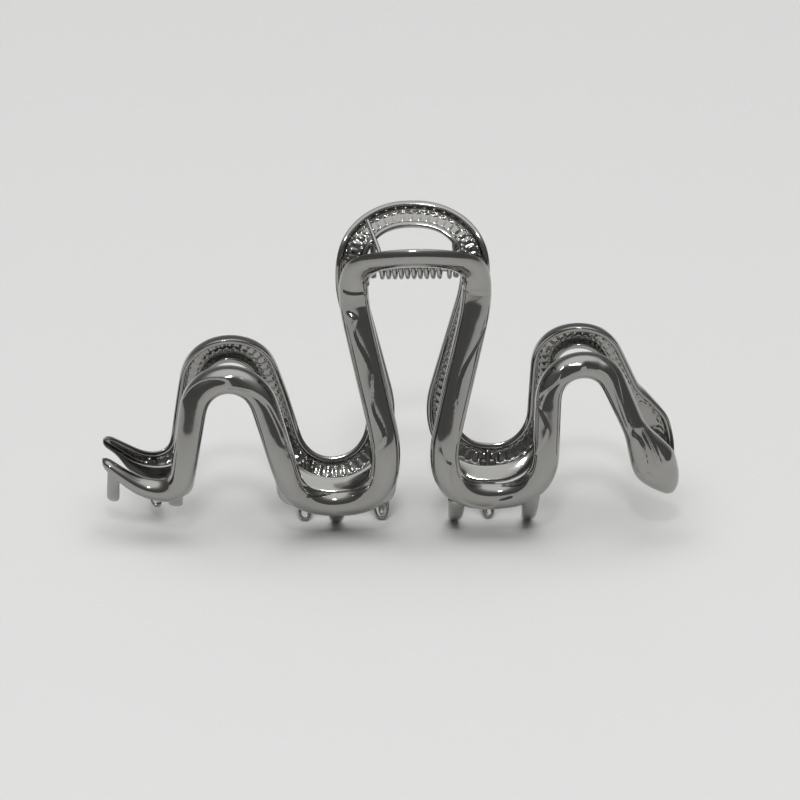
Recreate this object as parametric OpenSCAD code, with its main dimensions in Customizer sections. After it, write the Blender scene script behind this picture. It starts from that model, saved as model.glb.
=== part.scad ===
// Snake-shaped claw hair clip: two cast jaws on a sprung hinge pin.
// Units are millimetres. X runs from the tail to the head, the front jaw is
// on the -Y side, Z is up, and the tooth tips stand on Z = 0.

/* [Castings] */
// Wall thickness of the two castings
wall = 1.0; // [0.8:0.1:1.3]
// Thickness of a tooth where it leaves the body
tooth_root_t = 1.9; // [1.4:0.1:2.4]
// Thickness of a tooth at its tip
tooth_tip_t = 1.1; // [0.8:0.1:1.6]
// Width of the stiffening rib behind each tooth
rib_w = 1.1; // [0.8:0.1:1.6]

/* [Hinge] */
// Height of the hinge axis above the table
hinge_z = 50; // [49:0.5:51]
// Diameter of the hinge pin
pin_d = 1.8; // [1.5:0.1:2.0]
// Diameter of the bores that turn on the pin
bore_d = 1.9; // [1.6:0.1:2.1]
// Diameter of the round ends of the four lugs
lug_d = 4.0; // [3.6:0.1:4.4]
// Thickness of each lug
lug_t = 1.0; // [0.8:0.1:1.1]
// Diameter of the two pin heads
head_d = 3.2; // [2.6:0.1:3.6]

/* [Spring] */
// Wire diameter of the torsion spring
wire_d = 0.8; // [0.6:0.05:0.9]
// Mean diameter of the spring coil
coil_d = 3.7; // [3.5:0.1:3.9]
// Number of turns in the coil
turns = 11; // [9:1:12]

/* [Hidden] */
hinge_x = 4.5;
coil_half = 6.25;          // half of the coil's length along the pin
lug_in = 6.85;             // inner face of the rear jaw's lugs, from hinge_x
lug_out = 8.2;             // inner face of the front jaw's lugs, from hinge_x
stretch_step = 2.6;        // longest gap between stations on a straight stretch
arc_step = 1.8;            // longest gap between stations on a bend
tip_s = -0.5;              // teeth run this far past the curve's start, cut flat at Z = 0

// The jaw's open edge follows one curve in the YZ plane, from the tooth tips
// up to the finger tab: an arc under the hair, an arc into a straight lean,
// a reverse arc past the hinge and a straight flare.
claw_r = 14;
claw_o = -4.5;
claw_z = 16.342;
claw_a = 75;
waist_r = 25;
lean = 13.5;
neck_r = 11;
neck_o = 14.2;
flare = 51;

rad = PI / 180;
waist_o = claw_o + claw_r - waist_r;
lean_o = waist_o + waist_r * cos(lean);
lean_z = claw_z + waist_r * sin(lean);
neck_start_o = neck_o - neck_r * cos(lean);
neck_start_z = lean_z + (lean_o - neck_start_o) / tan(lean);
neck_z = neck_start_z + neck_r * sin(lean);
s_claw = claw_r * claw_a * rad;
s_waist = s_claw + waist_r * lean * rad;
s_neck = s_waist + (lean_o - neck_start_o) / sin(lean);
s_flare = s_neck + neck_r * (lean + flare) * rad;

// A point of that curve at length s from the tooth tips, with the direction
// that points out of the jaw: [out, up, out-direction, up-direction].
function edge_at(s) =
    s <= s_claw ? let(a = (s - s_claw) / claw_r / rad)
        [claw_o + claw_r * cos(a), claw_z + claw_r * sin(a), cos(a), sin(a)]
    : s <= s_waist ? let(a = (s - s_claw) / waist_r / rad)
        [waist_o + waist_r * cos(a), claw_z + waist_r * sin(a), cos(a), sin(a)]
    : s <= s_neck ? let(q = s - s_waist)
        [lean_o - q * sin(lean), lean_z + q * cos(lean), cos(lean), sin(lean)]
    : s <= s_flare ? let(a = lean - (s - s_neck) / neck_r / rad)
        [neck_o - neck_r * cos(a), neck_z - neck_r * sin(a), cos(a), sin(a)]
    : let(q = s - s_flare)
        [neck_o - neck_r * cos(flare) + q * sin(flare),
         neck_z + neck_r * sin(flare) + q * cos(flare), cos(flare), -sin(flare)];

// Both ends of the clip bow inward in plan.
function bow(x) = 5 * pow((x - hinge_x) / 55, 4);

// x, length along the edge curve, distance out of the edge surface.
function wrap(x, s, n) =
    let(e = edge_at(s)) [x, -(e[0] + n * e[2] - bow(x)), e[1] + n * e[3]];

// Body path of the snake, tail to head: a line of straight stretches whose
// corners are rounded. Each corner: x, s, radius, half width, depth.
bends = [
    [-51.9, 16.8, 0, 0.9, 2.1], [-44.5, 11.5, 9, 1.6, 2.8], [-38.0, 11.5, 4, 2.1, 3.1],
    [-34.5, 33.5, 6.5, 2.6, 3.1], [-24.0, 33.5, 6.5, 2.6, 3.1], [-16.5, 8.5, 8.5, 2.3, 3.1],
    [-2.5, 8.5, 8.5, 2.5, 3.1], [-0.5, 20.0, 20, 2.6, 3.1], [-6.5, 47.0, 30, 2.7, 3.0],
    [-6.5, 61.0, 10.5, 2.6, 2.6], [15.5, 61.0, 10.5, 2.6, 2.6], [15.5, 47.0, 30, 2.7, 3.0],
    [9.5, 21.0, 15, 2.6, 3.1], [10.0, 10.5, 8, 2.6, 3.1], [27.5, 10.5, 8.5, 2.4, 3.1],
    [28.5, 35.5, 6, 2.4, 3.1], [38.5, 35.5, 5.5, 2.4, 3.1], [44.0, 23.0, 30, 2.0, 3.1],
    [47.5, 16.5, 0, 4.3, 3.4], [50.0, 12.5, 0, 2.6, 3.0], [51.0, 10.0, 0, 0.9, 2.3]
];
// The rear jaw's finger loop has a limb a little nearer the tail, and is taller.
rear_out = 0.6;
rear_up = 0.5;
rear_bends = [for (i = [0 : len(bends) - 1]) let(b = bends[i],
    out = i == 7 || i == 8 ? rear_out : 0, up = i == 9 || i == 10 ? rear_up : 0)
    [b[0] - out, b[1] + up, b[2], b[3], b[4]]];

// A lip stands out under the body where it dips low, but not under the head.
lip_from = 14.5;
lip_most = 2.3;
function lip_at(x, s) = x > 40 ? 0 : min(lip_most, 0.6 * max(0, lip_from - s));

// Direction along the stretch that ends at corner i, the angle turned there,
// and how much of each stretch its arc takes up.
function corner(b, i) = [b[i][0], b[i][1]];
function way(b, i) = let(v = corner(b, i) - corner(b, i - 1)) v / norm(v);
function turn(b, i) = let(p = way(b, i), q = way(b, i + 1)) atan2(p[0] * q[1] - p[1] * q[0], p * q);
function cut(b, i) = i == 0 || i == len(b) - 1 ? 0 : b[i][2] * tan(abs(turn(b, i)) / 2);
function share(b, i) = b[i][2] > 0 ? 0.25 : 0;

// A station: x, s, half width, depth, the sideways direction, and the lip.
// f runs from 0 at corner i - 1 to 1 at corner i.
function station(b, i, f, p, v) = let(m = b[i - 1] + f * (b[i] - b[i - 1]))
    [p[0], p[1], m[3], m[4], -v[1], v[0], lip_at(p[0], p[1])];
function stretch(b, i) = let(
    v = way(b, i), p = corner(b, i - 1) + cut(b, i - 1) * v, q = corner(b, i) - cut(b, i) * v,
    n = ceil(norm(q - p) / stretch_step), f0 = share(b, i - 1), f1 = 1 - share(b, i))
    [for (k = [0 : n - 1]) station(b, i, f0 + (f1 - f0) * k / n, p + (q - p) * k / n, v)];
function arc(b, i) = b[i][2] == 0 ? [] : let(
    v = way(b, i), w = turn(b, i), r = b[i][2] * sign(w), p = corner(b, i) - cut(b, i) * v,
    side = [-v[1], v[0]], n = ceil(abs(r * w * rad) / arc_step))
    [for (k = [0 : n - 1]) let(a = w * k / n, f = (k / n - 0.5) / 2)
        station(b, f < 0 ? i : i + 1, f < 0 ? 1 + f : f,
                p + r * (sin(a) * v + (1 - cos(a)) * side), cos(a) * v + sin(a) * side)];
function stations(b) = let(last = len(b) - 1) concat(
    [for (i = [1 : last]) each concat(stretch(b, i), i < last ? arc(b, i) : [])],
    [station(b, last, 1, corner(b, last), way(b, last))]);

// Half sections of the hollow body: sideways as a share of the half width,
// outward as a share of the depth. The lower side ends in the lip.
outer_half = [[1, 0], [0.96, 0.3], [0.86, 0.62], [0.68, 0.87], [0.36, 0.98]];
inner_half = [[1, 0], [0.95, 0.55], [0.6, 0.95]];
function section(h, d, lip) =
    let(hi = max(h - wall, 0.15 * h), di = max(d - wall, 0.3 * d))
    [for (p = outer_half) [p[0] * h, p[1] * d], [0, d],
     for (k = [4 : -1 : 1]) [-outer_half[k][0] * h - (k == 1 ? 0.1 * lip : 0), outer_half[k][1] * d],
     [-h - 0.9 * lip, 0.2 * d], [-h - lip, 0],
     for (p = inner_half) [-p[0] * hi, p[1] * di], [0, di],
     for (k = [2 : -1 : 0]) [inner_half[k][0] * hi, inner_half[k][1] * di]];
ring = 19;

// Triangles of a closed tube of n rings of m points each.
function tube_faces(n, m) =
    [for (i = [0 : n - 2], j = [0 : m - 1])
        let(a = i * m + j, b = i * m + (j + 1) % m, c = a + m, d = b + m)
        each [[a, c, b], [b, c, d]]];

module body_tube(corners) {
    st = stations(corners);
    n = len(st);
    pts = [for (e = st) for (q = section(e[2], e[3], e[6]))
        wrap(e[0] + q[0] * e[4], e[1] + q[0] * e[5], q[1])];
    // End caps join the outer line to the inner line of the section.
    cap = [for (k = [0 : 2]) let(a = k, b = k + 1, c = 18 - k, d = 17 - k)
               each [[a, b, c], [b, d, c]],
           [3, 4, 15], [4, 5, 15], [5, 6, 15], [6, 7, 15],
           [7, 14, 15], [7, 8, 14], [8, 13, 14], [8, 9, 13], [9, 12, 13],
           [9, 10, 12], [10, 11, 12]];
    last = (n - 1) * ring;
    polyhedron(points = pts, faces = concat(tube_faces(n, ring), cap,
        [for (f = cap) [f[0] + last, f[2] + last, f[1] + last]]), convexity = 12);
}

// A tooth follows the lower arc: x at the root and tip, s at the root and tip,
// half width at the root and tip, depth of its middle at the tip.
module tooth(x0, x1, s0, s1, w0, w1, m1 = 2.5) {
    shape = [[0, 1], [0.3, 1], [0.55, 1], [0.75, 1], [0.9, 0.9], [0.97, 0.7], [1, 0.4]];
    rows = [for (g = shape) let(q = g[0],
        x = x0 + q * (x1 - x0), s = s0 + q * (s1 - s0),
        w = g[1] * (w0 + q * (w1 - w0)),
        t = tooth_root_t + q * (tooth_tip_t - tooth_root_t),
        m = 1.85 + q * (m1 - 1.85), u = t / 2 * (0.6 + 0.4 * g[1]))
        [[x - w, s, m - u * 0.6], [x - w * 0.75, s, m - u], [x + w * 0.75, s, m - u],
         [x + w, s, m - u * 0.6], [x + w, s, m + u * 0.6], [x + w * 0.75, s, m + u],
         [x - w * 0.75, s, m + u], [x - w, s, m + u * 0.6]]];
    n = len(rows);
    pts = [for (r = rows) for (p = r) wrap(p[0], p[1], p[2])];
    cap = [for (k = [1 : 6]) [0, k, k + 1]];
    last = (n - 1) * 8;
    polyhedron(points = pts, faces = concat(
        tube_faces(n, 8), cap,
        [for (f = cap) [f[0] + last, f[2] + last, f[1] + last]]), convexity = 4);
}

// The rib stands in the hollow of the body behind a tooth and runs down it.
module rib(x0, x1, s0, s1) {
    rows = [for (q = [0 : 0.25 : 1]) let(x = x0 + q * (x1 - x0), s = s0 + q * (s1 - s0),
        w = rib_w / 2, low = 0.35 + 0.75 * q)
        [[x - w, s, low], [x + w, s, low], [x + w, s, 2.2], [x - w, s, 2.2]]];
    n = len(rows);
    pts = [for (r = rows) for (p = r) wrap(p[0], p[1], p[2])];
    last = (n - 1) * 4;
    polyhedron(points = pts, faces = concat(
        tube_faces(n, 4), [[0, 1, 2], [0, 2, 3]],
        [[last, last + 2, last + 1], [last, last + 3, last + 2]]), convexity = 4);
}

// A lug: a flat plate with a round end on the hinge axis, whose other end runs
// into the body. rise lifts the plate's root toward the finger tab.
module lug(x, rise) {
    translate([x, 0, hinge_z]) rotate([0, 90, 0])
        cylinder(d = lug_d, h = lug_t, $fn = 64);
    translate([x, 0, hinge_z]) rotate([90, 0, 90]) linear_extrude(lug_t)
        polygon([[0, -1.6], [0, 1.85], [-4.6, 1.6 + rise], [-5.4, 1.6 + rise], [-4.9, -1.6]]);
}

module bores(d) {
    translate([hinge_x - 12, 0, hinge_z]) rotate([0, 90, 0])
        cylinder(d = d, h = 24, $fn = 64);
}

// Takes off what would reach below the table, so the tooth tips stand flat.
module table_cut() {
    translate([-40, -15, -2]) cube([80, 30, 2]);
}

module rod(a, b, d) {
    v = b - a;
    translate(a)
        rotate([0, acos(v[2] / norm(v)), atan2(v[1], v[0])])
            cylinder(d = d, h = norm(v), $fn = 32);
}

module front_jaw() {
    color([0.22, 0.22, 0.24]) difference() {
        union() {
            body_tube(bends);
            tooth(-49.9, -50.2, 14.4, 7.0, 1.35, 1.25, 1.5);
            tooth(-38.8, -38.8, 12.4, 8.2, 1.4, 1.3, 1.5);
            tooth(-9.7, -9.8, 8.4, tip_s, 1.7, 1.0);
            tooth(11.9, 11.7, 11.4, tip_s, 1.6, 1.1);
            tooth(25.2, 25.0, 12.2, tip_s, 1.7, 1.1);
            rib(-9.7, -9.8, 9.6, 2.6);
            rib(11.9, 11.7, 11.8, 2.8);
            rib(25.2, 25.0, 13.0, 2.8);
            lug(hinge_x - lug_out - lug_t, 0);
            lug(hinge_x + lug_out, 0);
        }
        bores(bore_d);
        table_cut();
    }
}

module rear_jaw() {
    color([0.22, 0.22, 0.24]) mirror([0, 1, 0]) difference() {
        union() {
            body_tube(rear_bends);
            tooth(-43.6, -42.2, 12.0, 3.7, 1.4, 1.05, 1.5);
            tooth(-15.6, -15.3, 10.4, tip_s, 1.6, 1.2);
            tooth(-1.6, -1.4, 12.4, tip_s, 1.8, 1.35);
            tooth(18.2, 18.0, 10.4, tip_s, 1.6, 1.1);
            rib(-43.6, -42.4, 12.4, 6.0);
            rib(-15.6, -15.3, 10.6, 2.6);
            rib(-1.6, -1.4, 12.8, 2.8);
            rib(18.2, 18.0, 12.2, 2.6);
            lug(hinge_x - lug_in - lug_t, 1);
            lug(hinge_x + lug_in, 1);
            // Bridges from the inner lugs to the body's inner walls.
            for (m = [-1, 1])
                translate([hinge_x + m * 7.8 - 0.8, -5.25, hinge_z - 1.4])
                    cube([1.6, 2.0, 2.9]);
        }
        bores(pin_d);
        table_cut();
    }
}

module hinge_pin() {
    color([0.3, 0.3, 0.32]) translate([hinge_x, 0, hinge_z]) rotate([0, 90, 0]) {
        cylinder(d = pin_d, h = 20.4, center = true, $fn = 64);
        for (m = [0, 1]) mirror([0, 0, m]) translate([0, 0, 9.6])
            cylinder(d = head_d, h = 0.7, $fn = 64);
    }
}

// The coil is a round wire wound about the pin. Its last turn, at the head
// end, belongs to the front leg and turns with the front jaw.
pitch = 2 * coil_half / turns;
module spring_coil() {
    m = 8;
    per_turn = 18;
    n = (turns - 1) * per_turn + 1;
    pts = [for (i = [0 : n - 1])
        let(a = 90 + 360 * i / per_turn, x = -coil_half + pitch * i / per_turn)
        for (j = [0 : m - 1]) let(b = 360 * j / m, r = coil_d / 2 + wire_d / 2 * cos(b))
            [hinge_x + x + wire_d / 2 * sin(b), r * cos(a), hinge_z + r * sin(a)]];
    cap = [for (k = [1 : m - 2]) [0, k, k + 1]];
    last = (n - 1) * m;
    color([0.25, 0.25, 0.27]) polyhedron(points = pts, faces = concat(
        [for (f = tube_faces(n, m)) [f[0], f[2], f[1]]],
        [for (f = cap) [f[0], f[2], f[1]]],
        [for (f = cap) [f[0] + last, f[1] + last, f[2] + last]]), convexity = 12);
}

// Each straight end of the wire leans outward and ends inside its jaw's
// finger tab.
module leg() {
    elbow = [6.35, -2.0, 2.5];
    rod([6.2, 0, coil_d / 2], elbow, wire_d);
    translate(elbow) sphere(d = wire_d, $fn = 24);
    rod(elbow, [8.35, -7.2, 6.35], wire_d);
}

module spring_leg_front() {
    color([0.25, 0.25, 0.27]) translate([hinge_x, 0, hinge_z]) union() {
        translate([6.2, 0, 0]) rotate([0, 90, 0]) rotate_extrude($fn = 48)
            translate([coil_d / 2, 0]) circle(d = wire_d, $fn = 16);
        leg();
    }
}

module spring_leg_rear() {
    color([0.25, 0.25, 0.27]) translate([hinge_x, 0, hinge_z])
        mirror([1, 0, 0]) mirror([0, 1, 0]) leg();
}

front_jaw();
rear_jaw();
hinge_pin();
spring_coil();
spring_leg_front();
spring_leg_rear();
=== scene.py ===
"""Visual model of a snake-shaped claw hair clip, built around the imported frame.

Lengths are in millimetres until a mesh is made; every object is in metres.
The jaws are swept along the same curves as the CAD castings, with a smooth
section, the waves and ridges of the relief, and the scales in the hollow side.
"""
import math

import bmesh
import bpy
import numpy as np
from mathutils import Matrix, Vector


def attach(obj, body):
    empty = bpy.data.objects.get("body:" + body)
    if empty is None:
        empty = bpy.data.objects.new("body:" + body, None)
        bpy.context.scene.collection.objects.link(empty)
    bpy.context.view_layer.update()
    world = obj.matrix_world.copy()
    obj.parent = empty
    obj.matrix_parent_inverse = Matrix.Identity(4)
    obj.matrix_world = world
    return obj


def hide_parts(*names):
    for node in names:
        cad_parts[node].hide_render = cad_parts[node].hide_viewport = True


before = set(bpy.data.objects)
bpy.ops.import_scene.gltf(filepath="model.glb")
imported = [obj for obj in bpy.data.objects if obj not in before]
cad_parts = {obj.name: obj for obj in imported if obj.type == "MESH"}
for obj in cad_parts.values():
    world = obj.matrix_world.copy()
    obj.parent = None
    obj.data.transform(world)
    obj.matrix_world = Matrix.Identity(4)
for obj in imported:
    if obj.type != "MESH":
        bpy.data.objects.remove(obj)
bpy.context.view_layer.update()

MM = 0.001

# Hinge and spring, as in the CAD model.
HINGE_X = 4.5
HINGE_Z = 50.0
LUG_IN = 6.85
LUG_OUT = 8.2
LUG_T = 1.0
LUG_R = 2.0
PIN_R = 0.9
HEAD_R = 1.6
COIL_R = 1.85
COIL_HALF = 6.25
WIRE_R = 0.4
TURNS = 11
WALL = 1.0

# The jaw's open edge in the YZ plane: claw arc, waist arc, lean, neck, flare.
CLAW_R = 14.0
CLAW_O = -4.5
CLAW_Z = 16.342
CLAW_A = math.radians(75)
WAIST_R = 25.0
LEAN = math.radians(13.5)
NECK_R = 11.0
NECK_O = 14.2
FLARE = math.radians(51)

WAIST_O = CLAW_O + CLAW_R - WAIST_R
LEAN_O = WAIST_O + WAIST_R * math.cos(LEAN)
LEAN_Z = CLAW_Z + WAIST_R * math.sin(LEAN)
NECK_START_O = NECK_O - NECK_R * math.cos(LEAN)
NECK_Z = LEAN_Z + (LEAN_O - NECK_START_O) / math.tan(LEAN) + NECK_R * math.sin(LEAN)
S_CLAW = CLAW_R * CLAW_A
S_WAIST = S_CLAW + WAIST_R * LEAN
S_NECK = S_WAIST + (LEAN_O - NECK_START_O) / math.sin(LEAN)
S_FLARE = S_NECK + NECK_R * (LEAN + FLARE)

# Body path, tail to head: a line whose corners are rounded, as in the CAD
# castings. Each corner: x, s, radius, half width, depth.
BENDS = [
    (-51.9, 16.8, 0, 0.9, 2.1), (-44.5, 11.5, 9, 1.6, 2.8), (-38.0, 11.5, 4, 2.1, 3.1),
    (-34.5, 33.5, 6.5, 2.6, 3.1), (-24.0, 33.5, 6.5, 2.6, 3.1), (-16.5, 8.5, 8.5, 2.3, 3.1),
    (-2.5, 8.5, 8.5, 2.5, 3.1), (-0.5, 20.0, 20, 2.6, 3.1), (-6.5, 47.0, 30, 2.7, 3.0),
    (-6.5, 61.0, 10.5, 2.6, 2.6), (15.5, 61.0, 10.5, 2.6, 2.6), (15.5, 47.0, 30, 2.7, 3.0),
    (9.5, 21.0, 15, 2.6, 3.1), (10.0, 10.5, 8, 2.6, 3.1), (27.5, 10.5, 8.5, 2.4, 3.1),
    (28.5, 35.5, 6, 2.4, 3.1), (38.5, 35.5, 5.5, 2.4, 3.1), (44.0, 23.0, 30, 2.0, 3.1),
    (47.5, 16.5, 0, 4.3, 3.4), (50.0, 12.5, 0, 2.6, 3.0), (51.0, 10.0, 0, 0.9, 2.3),
]
REAR_OUT = 0.6
REAR_UP = 0.5
LIP_FROM = 14.5
LIP_MOST = 2.3

# Mesh density of the sweep.
STATION_GAP = 0.36
ARC_POINTS = 40
OUTER_N = 48
RIM_N = 6
INNER_N = 36

# Powers of the superellipses of the outer face and the hollow.
OUTER_POWER = 2.3
INNER_POWER = 5.0
SCALE_DEPTH = 0.24
SCALE_ALONG = 1.5
SCALE_ACROSS = 1.1
TOOTH_ROOT_T = 1.9
TOOTH_TIP_T = 1.1


def edge_at(s):
    """Out, up, and the direction out of the jaw, at length s along the open edge."""
    claw = (s - S_CLAW) / CLAW_R
    waist = (s - S_CLAW) / WAIST_R
    up = s - S_WAIST
    neck = LEAN - (s - S_NECK) / NECK_R
    tab = s - S_FLARE
    zones = [s <= S_CLAW, s <= S_WAIST, s <= S_NECK, s <= S_FLARE]
    angle = np.select(zones, [claw, waist, LEAN + 0 * s, neck], -FLARE)
    out = np.select(zones, [
        CLAW_O + CLAW_R * np.cos(claw),
        WAIST_O + WAIST_R * np.cos(waist),
        LEAN_O - up * math.sin(LEAN),
        NECK_O - NECK_R * np.cos(neck),
    ], NECK_O - NECK_R * math.cos(FLARE) + tab * math.sin(FLARE))
    high = np.select(zones, [
        CLAW_Z + CLAW_R * np.sin(claw),
        CLAW_Z + WAIST_R * np.sin(waist),
        LEAN_Z + up * math.cos(LEAN),
        NECK_Z - NECK_R * np.sin(neck),
    ], NECK_Z + NECK_R * math.sin(FLARE) + tab * math.cos(FLARE))
    return out, high, np.cos(angle), np.sin(angle)


def wrap(x, s, n, side):
    """Points on the jaw: x, length along the edge, distance out of it. side is -1 or 1."""
    out, high, dir_out, dir_up = edge_at(s)
    bow = 5 * ((x - HINGE_X) / 55) ** 4
    return np.stack([x, side * (out + n * dir_out - bow), high + n * dir_up], -1)


def column(v):
    """One value for each station, ready to combine with values across the body."""
    return v[:, None]


def smooth(low, high, v):
    """0 below low, 1 above high, and a smooth step between."""
    q = np.clip((v - low) / (high - low), 0, 1)
    return q * q * (3 - 2 * q)


def jaw_bends(side):
    """The corners of one jaw's path; the rear jaw's loop stands out a little."""
    bends = np.array(BENDS, float)
    if side > 0:
        bends[7:9, 0] -= REAR_OUT
        bends[9:11, 1] += REAR_UP
    return bends


def corner_line(bends):
    """Points along the rounded line, and the corner number at each."""
    corner = bends[:, :2]
    ways = np.diff(corner, axis=0)
    ways /= np.hypot(*ways.T)[:, None]
    points, number = [corner[0]], [0.0]
    for i in range(1, len(bends) - 1):
        way, ahead, radius = ways[i - 1], ways[i], bends[i, 2]
        turn = math.atan2(way[0] * ahead[1] - way[1] * ahead[0], way @ ahead)
        start = corner[i] - way * radius * math.tan(abs(turn) / 2)
        reach = 0.25 if radius else 0
        side = np.array([-way[1], way[0]]) * np.sign(turn)
        for f in np.linspace(0, 1, ARC_POINTS if radius else 1):
            a = abs(turn) * f
            points.append(start + radius * (math.sin(a) * way + (1 - math.cos(a)) * side))
            number.append(i - reach + 2 * reach * f)
    points.append(corner[-1])
    number.append(len(bends) - 1.0)
    return np.array(points), np.array(number)


def soften(values, gap, spread):
    """Averages values along the path, which eases the step from arc to straight."""
    reach = int(3 * spread / gap)
    weight = np.exp(-0.5 * (np.arange(-reach, reach + 1) * gap / spread) ** 2)
    weight /= weight.sum()
    ends = 2 * values[0] - values[reach:0:-1], 2 * values[-1] - values[-2:-reach - 2:-1]
    return np.convolve(np.concatenate([ends[0], values, ends[1]]), weight, "valid")


# Waves of the relief on the outer face. Each runs between two corner numbers.
# Its place across the body is mean + swing * cos(2 pi turns f) + flare * (2f - 1)^4,
# as a share of the half width, with 1 at the upper edge. up says which side is raised.
WAVES = [
    # Under the first peak, from limb to limb, and into the first valley.
    {"run": (2.75, 4.6), "mean": 0.25, "swing": 0.7, "turns": 1, "up": 1, "high": 0.26, "reach": 2.0},
    {"run": (3.85, 4.5), "mean": 0.1, "swing": -0.45, "turns": 0.5, "up": 1, "high": 0.16, "reach": 1.2},
    {"run": (4.7, 5.0), "mean": 0, "swing": -0.9, "turns": 0.5, "up": -1, "high": 0.08, "reach": 2.0},
    {"run": (5.3, 6.1), "mean": 0, "swing": 0.55, "turns": 0.5, "up": -1, "high": 0.08, "reach": 2.0},
    # Leaf shapes down the loop's left limb.
    {"run": (8.0, 8.8), "mean": -0.1, "swing": -0.9, "turns": 0.5, "up": 1, "high": 0.2, "reach": 1.6},
    {"run": (7.05, 7.95), "mean": 0.1, "swing": 0.25, "turns": 2.75, "flare": 0.7,
     "up": 1, "high": 0.28, "reach": 2.4},
    # The loop's right limb: a crossing line, a panel and a long leaf.
    {"run": (10.1, 10.9), "mean": -0.1, "swing": -0.8, "turns": 0.5, "up": 1, "high": 0.16, "reach": 1.6},
    {"run": (11.2, 11.85), "mean": 0.5, "swing": 0.5, "turns": 1, "up": 1, "high": 0.26, "reach": 2.0},
    {"run": (11.9, 13.9), "mean": 0.1, "swing": -0.4, "turns": 1.5, "up": -1, "high": 0.14, "reach": 2.2},
    # Lens and folds on the limb up to the head's wave.
    {"run": (14.25, 14.75), "mean": 0.55, "swing": 0.45, "turns": 1, "up": 1, "high": 0.15, "reach": 1.6},
    {"run": (14.7, 15.1), "mean": 0.5, "swing": 0.5, "turns": 0.8, "up": 1, "high": 0.18, "reach": 1.0},
    {"run": (14.65, 15.6), "mean": 0.1, "swing": 0.5, "turns": 1, "up": 1, "high": 0.24, "reach": 1.6},
    # Lens on the snake's neck, and the folds of its head.
    {"run": (15.9, 16.8), "mean": -0.2, "swing": 0.25, "turns": 0.5, "up": 1, "high": 0.15, "reach": 1.2},
    {"run": (15.9, 16.8), "mean": 0.2, "swing": 0.5, "turns": 0.5, "up": -1, "high": 0.22, "reach": 1.2},
    {"run": (16.8, 17.9), "mean": -0.1, "swing": -0.12, "turns": 1, "up": -1, "high": 0.45, "reach": 2.2},
    {"run": (16.8, 18.2), "mean": 0.5, "swing": 0.2, "turns": 0.5, "up": 1, "high": 0.4, "reach": 1.0},
    {"run": (17.0, 18.0), "mean": 0.75, "swing": 0.2, "turns": 0.5, "up": 1, "high": 0.2, "reach": 1.0},
]
# How high the waves stand, and the groove along the foot of each.
WAVE_HEIGHT = 1.4
GROOVE_SHARE = 0.7
GROOVE_REACH = 0.7
# Eyes and the hollow under one: corner number, share of the half width, height, radius.
SWELLINGS = [(17.85, -0.6, 0.6, 0.5), (18.0, -0.35, -0.6, 0.45), (18.0, 0.75, 0.7, 0.7),
             (18.25, 0.8, 0.25, 0.35)]


def signed_distance(p, line):
    """Distance from points p to a polyline, positive on its left, and the place along it."""
    best = np.full(len(p), 1e9)
    sign = np.ones(len(p))
    where = np.zeros(len(p))
    start = 0.0
    for a, b in zip(line[:-1], line[1:]):
        way = b - a
        size = math.hypot(*way)
        rel = p - a
        f = np.clip((rel @ way) / size ** 2, 0, 1)
        gap = np.hypot(*(rel - f[:, None] * way).T)
        closer = gap < best - 1e-6
        best = np.where(closer, gap, best)
        sign = np.where(closer, np.sign(way[0] * rel[:, 1] - way[1] * rel[:, 0]), sign)
        where = np.where(closer, start + f * size, where)
        start += size
    return best * sign, where, start


def relief(stations, along, q):
    """Height of the outer face's waves at places (along, q) in millimetres.

    stations holds the corner number, length along the path and half width of each station.
    """
    number_line, along_line, half_line = stations
    height = np.zeros(along.shape)
    for wave in WAVES:
        f = np.linspace(0, 1, 41)
        number = wave["run"][0] + f * (wave["run"][1] - wave["run"][0])
        place_across = wave["mean"] + wave["swing"] * np.cos(2 * math.pi * wave["turns"] * f)
        place_across = place_across + wave.get("flare", 0) * (2 * f - 1) ** 4
        line_half = np.interp(number, number_line, half_line)
        line = np.stack([np.interp(number, number_line, along_line), place_across * line_half], 1)
        near = np.abs(along - line[:, 0].mean()) < np.ptp(line[:, 0]) / 2 + 5
        away, where, size = signed_distance(np.stack([along[near], q[near]], 1), line)
        away = away * wave["up"]
        ends = smooth(0, 1.6, where) * smooth(0, 1.6, size - where)
        step = smooth(-0.3, 0.05, away)
        fall = np.exp(-np.maximum(away, 0) / wave["reach"])
        groove = (1 - step) * np.exp(np.minimum(away, 0) / GROOVE_REACH)
        height[near] += WAVE_HEIGHT * wave["high"] * ends * (step * fall - GROOVE_SHARE * groove)
    for number, share, high, size in SWELLINGS:
        centre = (np.interp(number, number_line, along_line),
                  share * np.interp(number, number_line, half_line))
        height += high * np.exp(-((along - centre[0]) ** 2 + (q - centre[1]) ** 2) / size ** 2)
    return height


def scales(along, across):
    """Height of the diamond scales, from 0 in a groove to 1 in the middle of a scale."""
    a = along / SCALE_ALONG + across / SCALE_ACROSS
    b = along / SCALE_ALONG - across / SCALE_ACROSS
    ridge_a = 1 - np.abs(2 * (a - np.floor(a)) - 1)
    ridge_b = 1 - np.abs(2 * (b - np.floor(b)) - 1)
    return smooth(0, 0.8, np.minimum(ridge_a, ridge_b))


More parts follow.
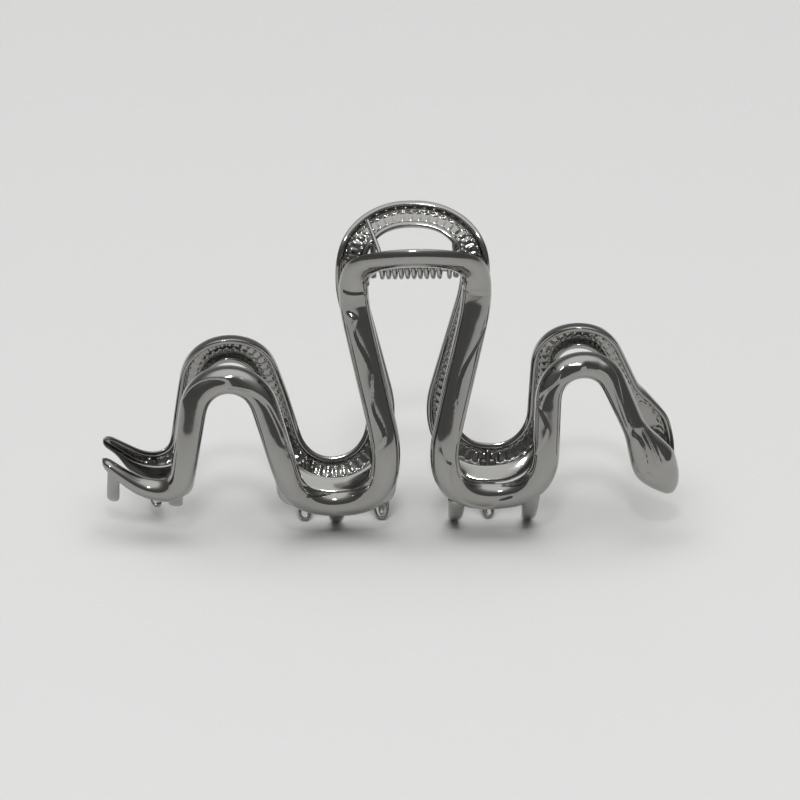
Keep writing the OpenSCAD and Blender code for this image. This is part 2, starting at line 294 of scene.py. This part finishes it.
def body_rings(side):
    """The swept body: an array of rings of points, tail to head."""
    bends = jaw_bends(side)
    points, number = corner_line(bends)
    length = np.concatenate([[0], np.cumsum(np.hypot(*np.diff(points, axis=0).T))])
    count = int(length[-1] / STATION_GAP) + 1
    along = np.linspace(0, length[-1], count)
    number = np.interp(along, length, number)
    gap = along[1]
    x0, s0 = (soften(np.interp(along, length, v), gap, 1.1) for v in points.T)
    half, depth = (soften(np.interp(number, np.arange(len(bends)), v), gap, 1.3)
                   for v in bends[:, 3:].T)
    full_half = half
    tangent = np.stack([np.gradient(x0), np.gradient(s0)], 1)
    tangent /= np.hypot(*tangent.T)[:, None]
    normal = np.stack([-tangent[:, 1], tangent[:, 0]], 1)
    dip = np.minimum(LIP_MOST, 0.6 * np.maximum(0, LIP_FROM - s0)) * (x0 < 40)
    lip = soften(dip, gap, 1.0)
    # Both ends are rounded off.
    tip = np.clip(along / 1.6, 0, 1)
    nose = np.clip((along[-1] - along) / 1.8, 0, 1)
    round_off = np.sqrt(1 - (1 - np.minimum(tip, nose)) ** 2) * 0.97 + 0.03
    half = half * round_off
    depth = depth * (0.45 + 0.55 * round_off)
    lip = lip * round_off

    stations = number, along, full_half
    half, depth, lip = column(half), column(depth), column(lip)
    thin = np.minimum(WALL, 0.55 * half)
    inner_half = half - thin
    inner_depth = np.maximum(depth - WALL, 0.3 * depth)
    bead = np.minimum(0.3, 0.3 * depth)

    # Outer face, upper side to lower side.
    phi = np.linspace(0, math.pi, OUTER_N)[None, :]
    power = 2 / OUTER_POWER
    u = np.sign(np.cos(phi)) * np.abs(np.cos(phi)) ** power
    rise = np.abs(np.sin(phi)) ** power
    n_out = bead + (depth - bead) * rise
    ridges = relief(stations, column(along) + 0 * u, half * u)
    n_out = n_out + ridges * smooth(0.05, 0.35, rise)
    flange = (1 - smooth(0.16, 0.36, n_out / depth)) * (u < 0)
    q_out = half * u - lip * flange
    # Lower rim, with the lip, then the hollow face, then the upper rim.
    beta = np.linspace(0, math.pi, RIM_N + 2)[None, 1:-1]
    low_a, low_b = -half - lip, -inner_half
    q_low = (low_a + low_b) / 2 + (low_a - low_b) / 2 * np.cos(beta)
    n_low = bead * (1 - np.sin(beta) ** 0.6)
    psi = np.linspace(math.pi, 0, INNER_N)[None, :]
    power = 2 / INNER_POWER
    w = np.sign(np.cos(psi)) * np.abs(np.cos(psi)) ** power
    sink = np.abs(np.sin(psi)) ** power
    q_in = inner_half * w
    n_in = bead + (inner_depth - bead) * sink
    floor = smooth(0.85, 0.97, sink)
    n_in = n_in - SCALE_DEPTH * floor * scales(column(along), q_in) * smooth(0.5, 1.2, inner_half)
    q_up = (half + inner_half) / 2 - (half - inner_half) / 2 * np.cos(beta)
    n_up = bead * (1 - np.sin(beta) ** 0.6)

    q = np.concatenate([q_out, q_low, q_in, q_up], 1)
    n = np.concatenate([n_out, n_low, n_in, n_up], 1)
    x = column(x0) + q * column(normal[:, 0])
    s = column(s0) + q * column(normal[:, 1])
    return wrap(x, s, n, side)


def loft(name, rings, body, material):
    """A closed mesh through rings of points in millimetres, capped at both ends."""
    count, size = rings.shape[:2]
    first = np.arange(count - 1)[:, None] * size
    j = np.arange(size)[None, :]
    k = (j + 1) % size
    quads = np.stack([first + j, first + k, first + size + k, first + size + j], -1)
    faces = quads.reshape(-1, 4).tolist()
    faces.append(list(range(size)))
    faces.append(list(range((count - 1) * size, count * size)))
    mesh = bpy.data.meshes.new(name)
    mesh.from_pydata((rings.reshape(-1, 3) * MM).tolist(), [], faces)
    finish_mesh(mesh)
    return place(name, mesh, body, material)


def finish_mesh(mesh):
    """Faces point outward and shade smoothly."""
    bm = bmesh.new()
    bm.from_mesh(mesh)
    bmesh.ops.triangulate(bm, faces=[f for f in bm.faces if len(f.verts) > 4])
    bmesh.ops.recalc_face_normals(bm, faces=bm.faces)
    for face in bm.faces:
        face.smooth = True
    bm.to_mesh(mesh)
    bm.free()


def place(name, mesh, body, material):
    obj = bpy.data.objects.new(name, mesh)
    bpy.context.scene.collection.objects.link(obj)
    mesh.materials.append(material)
    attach(obj, body)
    return obj


def tooth_rings(side, x0, x1, s0, s1, w0, w1, m1=2.5, m0=1.85):
    """A flat curved tooth, root to tip, with a rounded end.

    x, s and half width are given at the root and the tip, and m is the depth of the middle.
    """
    q = np.sin(np.linspace(0, math.pi / 2, 24))
    x = x0 + q * (x1 - x0)
    s = s0 + q * (s1 - s0)
    width = w0 + q * (w1 - w0)
    tip = np.sqrt(np.clip(1 - np.clip((q - 0.8) / 0.2, 0, 1) ** 2, 0, 1)) * 0.75 + 0.25
    tip[-1] = 0.05
    root_thick = min(TOOTH_ROOT_T, 1.4 * m0)
    thick = (root_thick + q * (TOOTH_TIP_T - root_thick)) / 2 * (0.5 + 0.5 * tip)
    middle = m0 + q * (m1 - m0)
    a = np.linspace(0, 2 * math.pi, 28, endpoint=False)
    ca = np.sign(np.cos(a)) * np.abs(np.cos(a)) ** 0.7
    sa = np.sign(np.sin(a)) * np.abs(np.sin(a)) ** 0.7
    return wrap(column(x) + column(width * tip) * ca, column(s) + 0 * ca,
                column(middle) + column(thick) * sa, side)


def rib_rings(side, x0, x1, s0, s1):
    """The stiffening rib that runs down the hollow side of a tooth."""
    q = np.linspace(0, 1, 12)
    a = np.linspace(0, 2 * math.pi, 16, endpoint=False)
    ca = np.sign(np.cos(a)) * np.abs(np.cos(a)) ** 0.6
    sa = np.sign(np.sin(a)) * np.abs(np.sin(a)) ** 0.6
    low = 0.35 + 0.75 * q
    x = column(x0 + q * (x1 - x0)) + 0.5 * ca
    middle = column((low + 2.2) / 2) + column((2.2 - low) / 2) * sa
    return wrap(x, column(s0 + q * (s1 - s0)) + 0 * ca, middle, side)


def tube_rings(points, radius, sides=16):
    """Rings of a round wire along a list of points."""
    p = np.asarray(points, float)
    tangent = np.gradient(p, axis=0)
    tangent /= np.linalg.norm(tangent, axis=1)[:, None]
    a = np.linspace(0, 2 * math.pi, sides, endpoint=False)
    up = np.array([1.0, 0.02, 0.01])
    rings = []
    for point, way in zip(p, tangent):
        across = up - way * (up @ way)
        across /= np.linalg.norm(across)
        up = across
        third = np.cross(way, across)
        rings.append(point + radius * (np.cos(a)[:, None] * across + np.sin(a)[:, None] * third))
    return np.array(rings)


def plate(name, outline, x, thick, body, material):
    """A flat plate across the hinge axis, with softened edges."""
    bm = bmesh.new()
    verts = [bm.verts.new((x * MM, y * MM, z * MM)) for y, z in outline]
    face = bm.faces.new(verts)
    out = bmesh.ops.extrude_face_region(bm, geom=[face])
    moved = [v for v in out["geom"] if isinstance(v, bmesh.types.BMVert)]
    bmesh.ops.translate(bm, vec=(thick * MM, 0, 0), verts=moved)
    bmesh.ops.recalc_face_normals(bm, faces=bm.faces)
    edges = [e for e in bm.edges if len(e.link_faces) == 2 and e.calc_face_angle() > 0.8]
    bmesh.ops.bevel(bm, geom=edges, offset=0.15 * MM, segments=3, affect="EDGES")
    for face in bm.faces:
        face.smooth = len(face.verts) <= 4
    mesh = bpy.data.meshes.new(name)
    bm.to_mesh(mesh)
    bm.free()
    return place(name, mesh, body, material)


def lug_outline(side, rise):
    """Round end on the hinge axis, with a root that runs into the jaw."""
    arc = [math.radians(a) for a in range(90, 271, 12)]
    round_end = [(side * LUG_R * math.cos(a), LUG_R * math.sin(a)) for a in arc]
    root = [(side * 4.9, -1.6), (side * 5.4, 1.6 + rise), (side * 4.6, 1.6 + rise)]
    return [(y, HINGE_Z + z) for y, z in round_end + root]


def turned(name, profile, body, material, steps=64):
    """A turned piece on the hinge axis: profile is (x from the hinge's middle, radius)."""
    a = np.linspace(0, 2 * math.pi, steps, endpoint=False)
    rings = [np.stack([HINGE_X + x + 0 * a, r * np.cos(a), HINGE_Z + r * np.sin(a)], -1)
             for x, r in profile]
    return loft(name, np.array(rings), body, material)


def node_tree(name):
    material = bpy.data.materials.new(name)
    material.use_nodes = True
    nodes = material.node_tree.nodes
    return material, nodes, material.node_tree.links, nodes["Principled BSDF"]


def gunmetal():
    """Polished dark plating over a casting, with a faint waviness from the mould."""
    material, nodes, links, shader = node_tree("gunmetal_polished")
    shader.inputs["Base Color"].default_value = (0.345, 0.342, 0.328, 1)
    shader.inputs["Metallic"].default_value = 1.0
    coords = nodes.new("ShaderNodeTexCoord")
    waves = nodes.new("ShaderNodeTexNoise")
    waves.inputs["Scale"].default_value = 160
    waves.inputs["Detail"].default_value = 2
    fine = nodes.new("ShaderNodeTexNoise")
    fine.inputs["Scale"].default_value = 900
    fine.inputs["Detail"].default_value = 3
    rough = nodes.new("ShaderNodeMapRange")
    rough.inputs["To Min"].default_value = 0.06
    rough.inputs["To Max"].default_value = 0.15
    bump = nodes.new("ShaderNodeBump")
    bump.inputs["Strength"].default_value = 0.12
    bump.inputs["Distance"].default_value = 0.0004
    links.new(coords.outputs["Object"], waves.inputs["Vector"])
    links.new(coords.outputs["Object"], fine.inputs["Vector"])
    links.new(fine.outputs["Fac"], rough.inputs["Value"])
    links.new(rough.outputs["Result"], shader.inputs["Roughness"])
    links.new(waves.outputs["Fac"], bump.inputs["Height"])
    links.new(bump.outputs["Normal"], shader.inputs["Normal"])
    return material


def wire_steel():
    """Plated spring wire with fine drawing marks."""
    material, nodes, links, shader = node_tree("spring_wire_plated")
    shader.inputs["Base Color"].default_value = (0.44, 0.44, 0.43, 1)
    shader.inputs["Metallic"].default_value = 1.0
    coords = nodes.new("ShaderNodeTexCoord")
    noise = nodes.new("ShaderNodeTexNoise")
    noise.inputs["Scale"].default_value = 1500
    rough = nodes.new("ShaderNodeMapRange")
    rough.inputs["To Min"].default_value = 0.18
    rough.inputs["To Max"].default_value = 0.34
    links.new(coords.outputs["Object"], noise.inputs["Vector"])
    links.new(noise.outputs["Fac"], rough.inputs["Value"])
    links.new(rough.outputs["Result"], shader.inputs["Roughness"])
    return material


def floor_material():
    material, nodes, links, shader = node_tree("studio_floor")
    shader.inputs["Base Color"].default_value = (0.70, 0.70, 0.695, 1)
    shader.inputs["Roughness"].default_value = 0.42
    shader.inputs["Specular IOR Level"].default_value = 0.35
    return material


FRONT_TEETH = [(-49.9, -50.2, 15.2, 7.0, 1.1, 1.2, 1.3, 1.0), (-38.8, -38.8, 12.4, 8.2, 1.4, 1.3, 1.5),
               (-9.7, -9.8, 8.4, 0, 1.7, 1.0), (11.9, 11.7, 11.4, 0, 1.6, 1.1),
               (25.2, 25.0, 12.2, 0, 1.7, 1.1)]
FRONT_RIBS = [(-9.7, -9.8, 9.6, 2.6), (11.9, 11.7, 11.8, 2.8), (25.2, 25.0, 13.0, 2.8)]
REAR_TEETH = [(-43.6, -42.2, 12.0, 3.7, 1.4, 1.05, 1.5), (-15.6, -15.3, 10.4, 0, 1.6, 1.2),
              (-1.6, -1.4, 12.4, 0, 1.8, 1.35), (18.2, 18.0, 10.4, 0, 1.6, 1.1)]
REAR_RIBS = [(-43.6, -42.4, 12.4, 6.0), (-15.6, -15.3, 10.6, 2.6), (-1.6, -1.4, 12.8, 2.8),
             (18.2, 18.0, 12.2, 2.6)]


def make_jaw(name, side, body, teeth, ribs, lug_x, rise, metal):
    shell = loft(name + "_shell", body_rings(side), body, metal)
    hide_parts(name)
    for i, spec in enumerate(teeth):
        loft(f"{name}_tooth_{i + 1}", tooth_rings(side, *spec), body, metal)
    for i, spec in enumerate(ribs):
        loft(f"{name}_rib_{i + 1}", rib_rings(side, *spec), body, metal)
    for i, x in enumerate(lug_x):
        plate(f"{name}_lug_{i + 1}", lug_outline(side, rise), x, LUG_T, body, metal)
    return shell


def make_pin(metal):
    """The hinge pin, with a domed head at each end."""
    half = [(8.6, PIN_R), (9.55, PIN_R), (9.6, 1.3), (9.68, HEAD_R), (9.95, HEAD_R),
            (10.12, 1.42), (10.24, 1.0), (10.29, 0.5), (10.3, 0.06)]
    profile = [(-x, r) for x, r in reversed(half)] + half
    pin = turned("hinge_pin_turned", profile, "rear_half", metal)
    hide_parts("hinge_pin")


def helix(first, last, per_turn=40):
    """Points of the coil between two turns, counted from the tail end."""
    n = int(round((last - first) * per_turn)) + 1
    turn = np.linspace(first, last, n)
    a = math.radians(90) + 2 * math.pi * turn
    x = HINGE_X - COIL_HALF + turn * 2 * COIL_HALF / TURNS
    return np.stack([x, COIL_R * np.cos(a), HINGE_Z + COIL_R * np.sin(a)], -1)


def leg_points(sign):
    """The straight end of the wire, from the coil's top to its jaw's finger tab."""
    spots = np.array([(6.2, 0, 1.85), (6.22, -0.7, 1.9), (6.35, -2.0, 2.5), (8.35, -7.2, 6.35)])
    fine = [spots[0]]
    for a, b in zip(spots[:-1], spots[1:]):
        fine += [a + (b - a) * f for f in np.linspace(0.1, 1, 10)]
    fine = np.array(fine)
    soft = fine.copy()
    for _ in range(3):
        soft[1:-1] = (soft[:-2] + 2 * soft[1:-1] + soft[2:]) / 4
    soft[:, 0] *= sign
    soft[:, 1] *= sign
    return soft + np.array([HINGE_X, 0, HINGE_Z])


def make_spring(wire):
    coil = loft("spring_coil_wire", tube_rings(helix(0, TURNS - 1), WIRE_R),
                "rear_half", wire)
    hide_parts("spring_coil")
    a = np.linspace(math.radians(90), math.radians(90 - 358), 60)
    ring = np.stack([HINGE_X + 6.2 + 0 * a, COIL_R * np.cos(a), HINGE_Z + COIL_R * np.sin(a)], -1)
    front = np.concatenate([ring[::-1], leg_points(1)[1:]])
    leg = loft("spring_leg_front_wire", tube_rings(front, WIRE_R), "front_half", wire)
    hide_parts("spring_leg_front")
    leg = loft("spring_leg_rear_wire", tube_rings(leg_points(-1), WIRE_R),
               "rear_half", wire)
    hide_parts("spring_leg_rear")


def make_stage():
    """A pale floor that runs up into a backdrop far behind."""
    rings = []
    for y, z in [(-6, 0), (-2, 0), (-0.5, 0), (0.5, 0), (2.0, 0)]:
        rings.append([(-5, y, z), (5, y, z)])
    for k in range(1, 13):
        a = math.radians(7.5 * k)
        rings.append([(-5, 2 + math.sin(a), 1 - math.cos(a)), (5, 2 + math.sin(a), 1 - math.cos(a))])
    rings.append([(-5, 3, 4), (5, 3, 4)])
    verts = [v for ring in rings for v in ring]
    faces = [(2 * i, 2 * i + 1, 2 * i + 3, 2 * i + 2) for i in range(len(rings) - 1)]
    mesh = bpy.data.meshes.new("studio_floor")
    mesh.from_pydata(verts, [], faces)
    for polygon in mesh.polygons:
        polygon.use_smooth = True
    obj = bpy.data.objects.new("studio_floor", mesh)
    bpy.context.scene.collection.objects.link(obj)
    mesh.materials.append(floor_material())


def make_world():
    """A studio room: dark round the table, bright overhead."""
    world = bpy.data.worlds.new("studio")
    bpy.context.scene.world = world
    world.use_nodes = True
    nodes, links = world.node_tree.nodes, world.node_tree.links
    back = nodes["Background"]
    coords = nodes.new("ShaderNodeTexCoord")
    split = nodes.new("ShaderNodeSeparateXYZ")
    ramp = nodes.new("ShaderNodeValToRGB")
    links.new(coords.outputs["Generated"], split.inputs["Vector"])
    links.new(split.outputs["Z"], ramp.inputs["Fac"])
    bands = [(0.0, 0.14), (0.35, 0.12), (0.60, 0.17), (0.78, 0.42), (0.90, 1.1), (1.0, 1.2)]
    while len(ramp.color_ramp.elements) < len(bands):
        ramp.color_ramp.elements.new(0.5)
    for element, (at, value) in zip(ramp.color_ramp.elements, bands):
        element.position = at
        element.color = (value, value, value, 1)
    links.new(ramp.outputs["Color"], back.inputs["Color"])
    back.inputs["Strength"].default_value = 1.0


def area_light(name, place_at, aim, size, power, glossy=True):
    data = bpy.data.lights.new(name, "AREA")
    data.shape = "RECTANGLE"
    data.size, data.size_y = size
    data.energy = power
    obj = bpy.data.objects.new(name, data)
    obj.location = place_at
    obj.rotation_euler = (Vector(aim) - Vector(place_at)).to_track_quat("-Z", "Y").to_euler()
    obj.visible_glossy = glossy
    bpy.context.scene.collection.objects.link(obj)
    return obj


def make_lights():
    area_light("softbox_overhead", (0.0, -0.1, 1.6), (0, 0, 0), (2.4, 2.0), 20, glossy=False)
    area_light("lamp_front", (-0.06, -0.88, 1.2), (0, 0, 0.03), (0.14, 0.14), 3)


def make_camera():
    target = Vector((1.895, 0, 23.9)) * MM
    distance, azimuth, elevation = 1.060, math.radians(-1.6), math.radians(24.5)
    away = Vector((math.sin(azimuth) * math.cos(elevation), -math.cos(azimuth) * math.cos(elevation),
                   math.sin(elevation)))
    data = bpy.data.cameras.new("camera")
    data.sensor_width = 36
    data.lens = 264.3
    data.clip_end = 50
    obj = bpy.data.objects.new("camera", data)
    obj.location = target + away * distance
    obj.rotation_euler = (-away).to_track_quat("-Z", "Y").to_euler()
    bpy.context.scene.collection.objects.link(obj)
    bpy.context.scene.camera = obj


make_camera()
make_stage()
make_world()
make_lights()
metal = gunmetal()
wire = wire_steel()
make_jaw("front_jaw", -1, "front_half", FRONT_TEETH, FRONT_RIBS,
         [HINGE_X - LUG_OUT - LUG_T, HINGE_X + LUG_OUT], 0, metal)
make_jaw("rear_jaw", 1, "rear_half", REAR_TEETH, REAR_RIBS,
         [HINGE_X - LUG_IN - LUG_T, HINGE_X + LUG_IN], 1, metal)
make_pin(wire)
make_spring(wire)
bpy.context.scene.view_settings.view_transform = "Standard"
